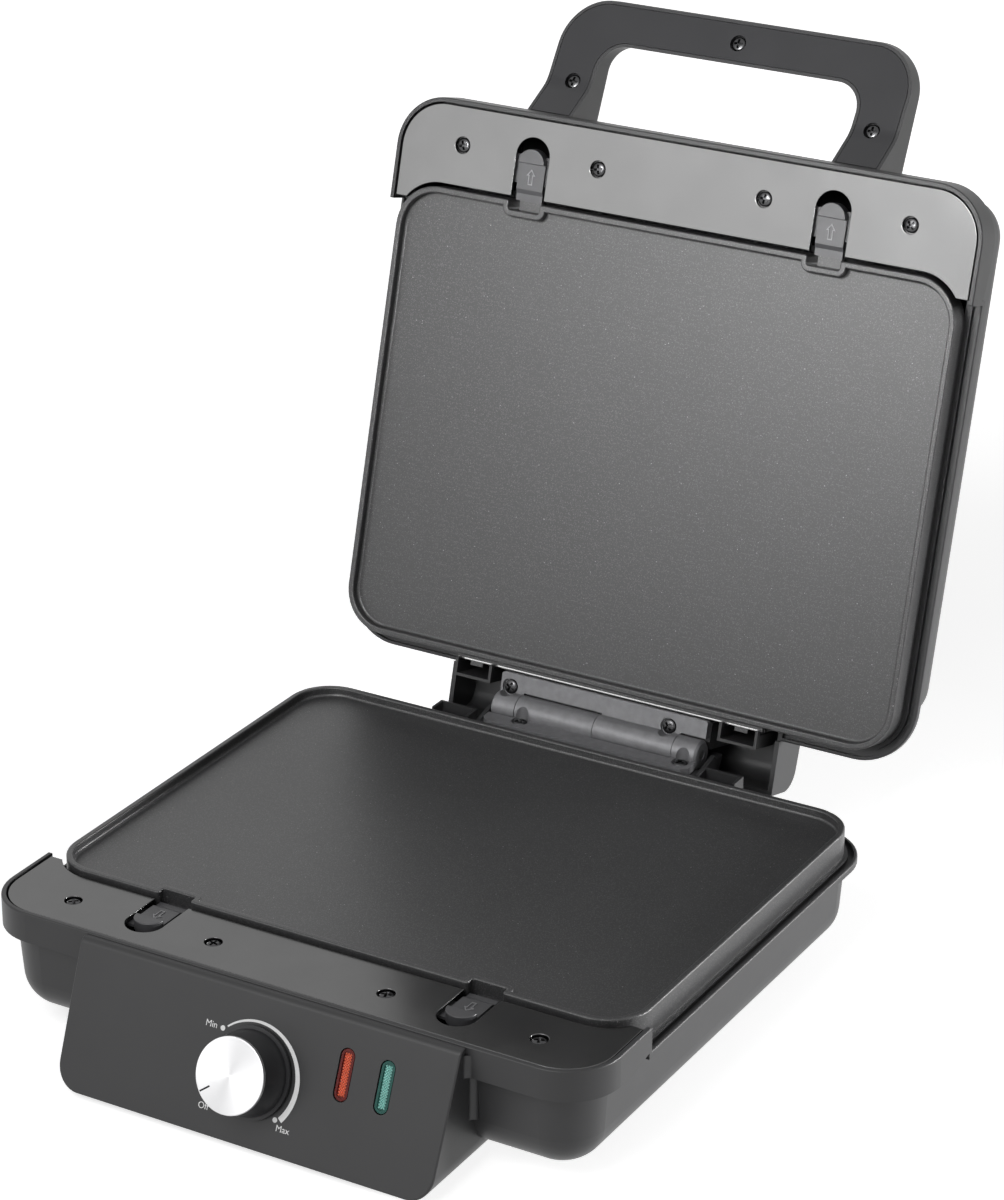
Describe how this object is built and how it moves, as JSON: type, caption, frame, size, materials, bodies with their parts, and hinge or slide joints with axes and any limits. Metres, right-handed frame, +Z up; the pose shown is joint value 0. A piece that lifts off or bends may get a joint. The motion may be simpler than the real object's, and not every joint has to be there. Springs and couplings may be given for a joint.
{
  "type": "contact grill",
  "caption": "Countertop contact grill with a hinged lid held open, loop handle, flat removable-look plates with sliding plate latches, front control box with knob and two indicator lenses",
  "frame": {"origin": "centre of the footprint of the whole open object, on the resting plane under the rubber feet", "axes": "+X to the object's right along the hinge, -Y towards the user and the knob, +Z up"},
  "size_m": [0.292, 0.4411, 0.3633],
  "materials": {
    "housing_plastic": "fine-textured dark grey moulded plastic",
    "deck_plastic": "semi-gloss dark grey plastic, lightly brushed look",
    "nonstick_plate": "cast aluminium under a dark speckled non-stick coating",
    "bright_sheet": "bright sheet metal",
    "element_steel": "dull tubular heater steel",
    "hinge_casting": "satin grey painted casting",
    "pin_steel": "plain steel",
    "black_screw": "blackened steel",
    "red_lens": "translucent red lens with a diamond texture",
    "green_lens": "translucent blue-green lens with a diamond texture",
    "lamp_glass": "clear lamp glass",
    "thermostat_moulding": "brown heat-resistant moulding",
    "knob_plastic": "black plastic",
    "spun_aluminium": "circularly spun bright aluminium",
    "foot_rubber": "black rubber",
    "latch_plastic": "dark grey heat-resistant plastic"
  },
  "bodies": {
    "base": {"base_housing": "housing_plastic", "control_box": "housing_plastic", "base_deck": "deck_plastic", "base_deck_screws": "black_screw", "lower_plate": "nonstick_plate", "lower_reflector": "bright_sheet", "lower_heating_element": "element_steel", "hinge_lower_leaf": "hinge_casting", "hinge_lower_screws": "black_screw", "hinge_pin": "pin_steel", "red_lens": "red_lens", "green_lens": "green_lens", "indicator_lamps": "lamp_glass", "thermostat": "thermostat_moulding", "front_feet": "foot_rubber", "rear_feet": "foot_rubber", "cord_gland": "foot_rubber"},
    "lid": {"lid_housing": "housing_plastic", "lid_deck": "deck_plastic", "lid_deck_screws": "black_screw", "upper_plate": "nonstick_plate", "upper_reflector": "bright_sheet", "upper_heating_element": "element_steel", "hinge_upper_leaf": "hinge_casting", "hinge_upper_screws": "black_screw", "handle_cover": "housing_plastic", "handle_screws": "black_screw"},
    "lower_latch_left": {"lower_latch_left": "latch_plastic"},
    "lower_latch_right": {"lower_latch_right": "latch_plastic"},
    "upper_latch_left": {"upper_latch_left": "latch_plastic"},
    "upper_latch_right": {"upper_latch_right": "latch_plastic"},
    "knob": {"knob_skirt": "knob_plastic", "knob_cap": "spun_aluminium", "knob_shaft": "pin_steel"}
  },
  "joints": [
    {"name": "lid_hinge", "type": "hinge", "parent": "base", "child": "lid", "pos_m": [0, 0.08419, 0.065], "axis": [1, 0, 0], "range_deg": [0, 105.35]},
    {"name": "lower_latch_left_slide", "type": "slide", "parent": "base", "child": "lower_latch_left", "axis": [0, -1, 0], "range_m": [0, 0.004], "stiffness_N_per_m": 250, "springref_m": -0.004},
    {"name": "lower_latch_right_slide", "type": "slide", "parent": "base", "child": "lower_latch_right", "axis": [0, -1, 0], "range_m": [0, 0.004], "stiffness_N_per_m": 250, "springref_m": -0.004},
    {"name": "upper_latch_left_slide", "type": "slide", "parent": "lid", "child": "upper_latch_left", "axis": [0, 0.2647, 0.9643], "range_m": [0, 0.004], "stiffness_N_per_m": 250, "springref_m": -0.004},
    {"name": "upper_latch_right_slide", "type": "slide", "parent": "lid", "child": "upper_latch_right", "axis": [0, 0.2647, 0.9643], "range_m": [0, 0.004], "stiffness_N_per_m": 250, "springref_m": -0.004},
    {"name": "knob_turn", "type": "hinge", "parent": "base", "child": "knob", "pos_m": [0, -0.20036, 0.0317], "axis": [0, 0.9239, -0.3827], "range_deg": [0, 265]}
  ]
}
